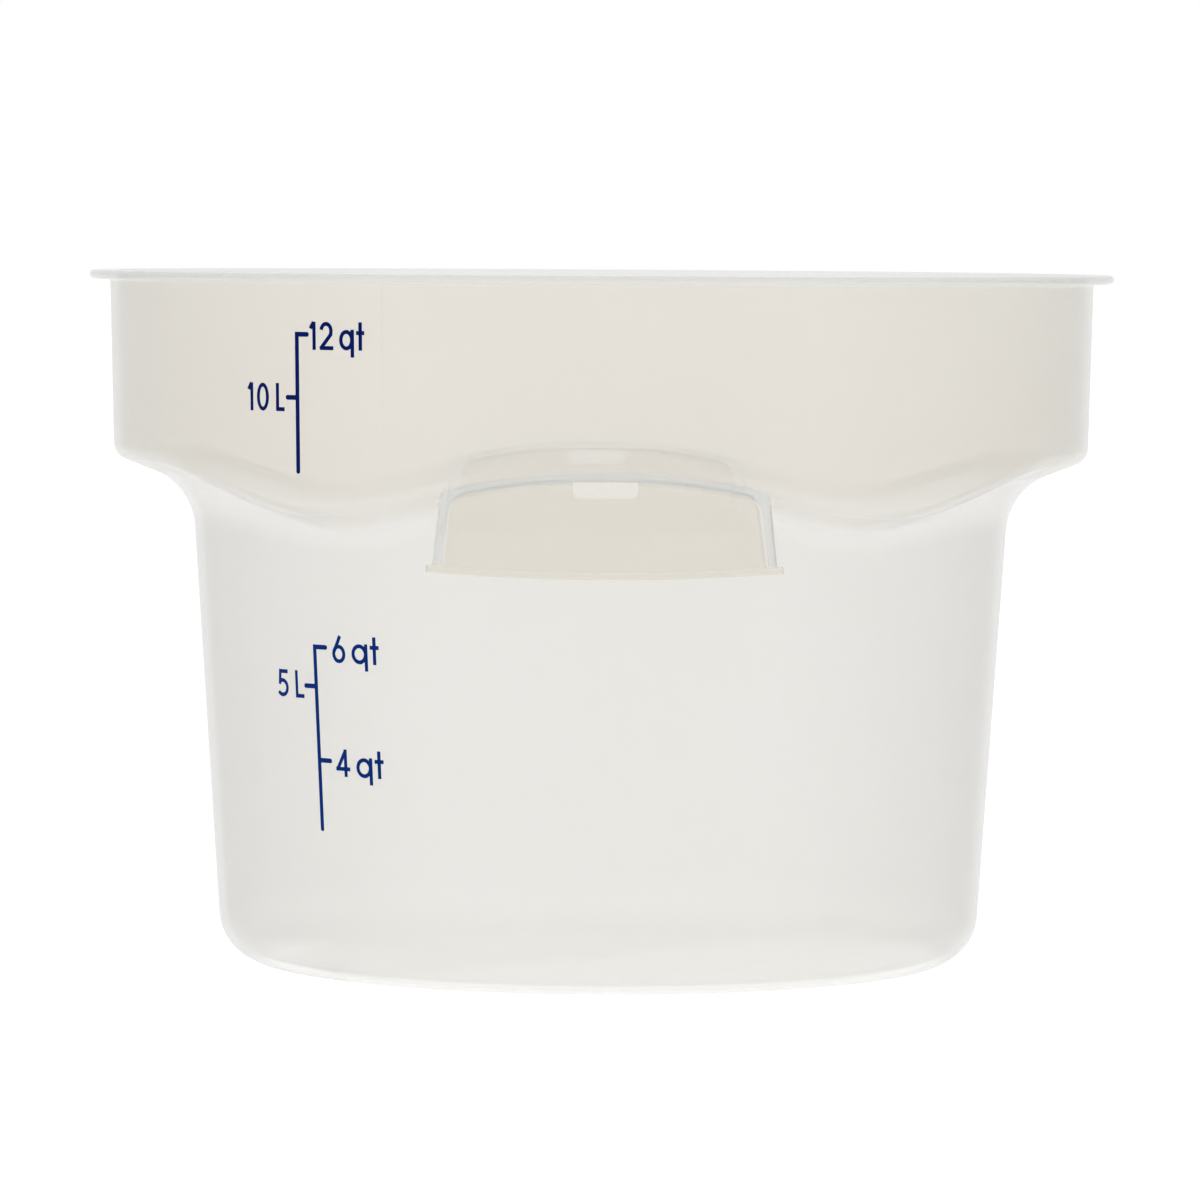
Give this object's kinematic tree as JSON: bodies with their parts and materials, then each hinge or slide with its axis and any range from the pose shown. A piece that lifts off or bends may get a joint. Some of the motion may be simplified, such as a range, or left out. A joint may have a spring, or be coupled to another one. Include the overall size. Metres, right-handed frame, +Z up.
{
  "type": "round food storage container",
  "caption": "Round translucent food tub with a tapered lower wall, wavy shoulder, wide upper band, lid rim, moulded finger grips and printed volume scales.",
  "frame": {"origin": "centre of the base, on the surface that the tub stands on", "axes": "+Z up the tub's axis to the rim, -Y out through the front grip, +X to the right seen from the front"},
  "size_m": [0.3334, 0.3334, 0.225],
  "materials": {
    "plastic": "translucent natural polypropylene, satin",
    "ink": "navy blue screen-printed ink"
  },
  "bodies": {
    "root": {"floor_disc": "plastic", "base_corner": "plastic", "lower_wall": "plastic", "upper_band": "plastic", "rim_flange": "plastic", "shoulder_front": "plastic", "shoulder_right": "plastic", "shoulder_rear": "plastic", "shoulder_left": "plastic", "front_grip_panel": "plastic", "front_grip_left_cheek": "plastic", "front_grip_right_cheek": "plastic", "front_grip_bead": "plastic", "rear_grip_panel": "plastic", "rear_grip_left_cheek": "plastic", "rear_grip_right_cheek": "plastic", "rear_grip_bead": "plastic", "upper_scale_stem": "ink", "print_12qt_1": "ink", "print_12qt_2": "ink", "print_12qt_q": "ink", "print_12qt_t": "ink", "print_10L_1": "ink", "print_10L_0": "ink", "print_10L_L": "ink", "lower_scale_stem": "ink", "print_6qt_6": "ink", "print_6qt_q": "ink", "print_6qt_t": "ink", "print_5L_5": "ink", "print_5L_L": "ink", "print_4qt_4": "ink", "print_4qt_q": "ink", "print_4qt_t": "ink"}
  },
  "joints": []
}
